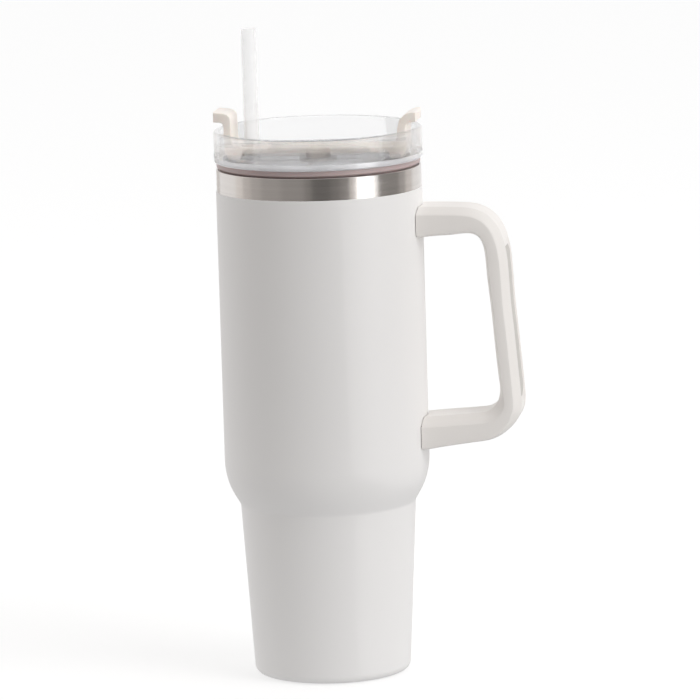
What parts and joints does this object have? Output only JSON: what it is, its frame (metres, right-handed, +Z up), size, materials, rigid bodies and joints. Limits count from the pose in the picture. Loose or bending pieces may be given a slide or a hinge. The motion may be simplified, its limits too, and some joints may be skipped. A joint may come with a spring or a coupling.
{
  "type": "insulated tumbler with lid",
  "caption": "Tall double-wall insulated tumbler with a tapered cup-holder base, side handle, clear push-in lid, turning cover with finger tabs, and a straight straw.",
  "frame": {"origin": "centre of the round base on the plane the tumbler stands on", "axes": "+Z up along the cup axis, +X towards the handle, +Y across the handle, away from the viewer of the front; the straw is on -X"},
  "size_m": [0.1478, 0.1012, 0.3165],
  "materials": {
    "powder_coat": "satin powder coat, fine texture, off-white",
    "steel": "fine circumferential brush, bare band and inside",
    "steel_hidden": "plain sheet steel",
    "screw_steel": "bright stainless screws and washer",
    "getter": "dark sintered",
    "seal_resin": "dark resin",
    "handle_paint": "satin, matches the body",
    "grip_soft": "matte soft inlay, light grey",
    "pad_rubber": "matte dark",
    "base_plastic": "matte off-white",
    "clear_plastic": "clear glossy copolyester",
    "gasket_silicone": "translucent mauve-grey silicone, satin",
    "cover_cream": "cream, satin gloss",
    "clear_silicone": "satin pale silicone",
    "straw_clear": "frosted clear plastic"
  },
  "bodies": {
    "tumbler": {"outer_shell": "steel", "powder_coat": "powder_coat", "inner_liner": "steel", "base_plate": "steel_hidden", "bottom_cover": "base_plastic", "vacuum_getter": "getter", "vacuum_seal": "seal_resin", "upper_bracket": "steel_hidden", "lower_bracket": "steel_hidden", "handle_frame": "handle_paint", "handle_grip": "grip_soft", "handle_pads": "pad_rubber", "handle_screws": "screw_steel", "screw_plugs": "handle_paint"},
    "lid": {"lid_body": "clear_plastic", "lid_gasket": "gasket_silicone"},
    "cover": {"rotating_cover": "cover_cream", "cover_plate": "clear_plastic", "pivot_screw": "screw_steel", "pivot_washer": "screw_steel", "pivot_cap": "cover_cream", "straw_grommet": "clear_silicone"},
    "straw": {"straw": "straw_clear", "straw_stop": "clear_silicone"}
  },
  "joints": [
    {"name": "lid_lift", "type": "slide", "parent": "tumbler", "child": "lid", "axis": [0, 0, 1], "range_m": [0, 0.26]},
    {"name": "cover_turn", "type": "hinge", "parent": "lid", "child": "cover", "pos_m": [0, 0, 0.25], "axis": [0, 0, 1], "range_deg": [0, 60]},
    {"name": "straw_slide", "type": "slide", "parent": "cover", "child": "straw", "axis": [0, 0, 1], "range_m": [0, 0.18]}
  ]
}
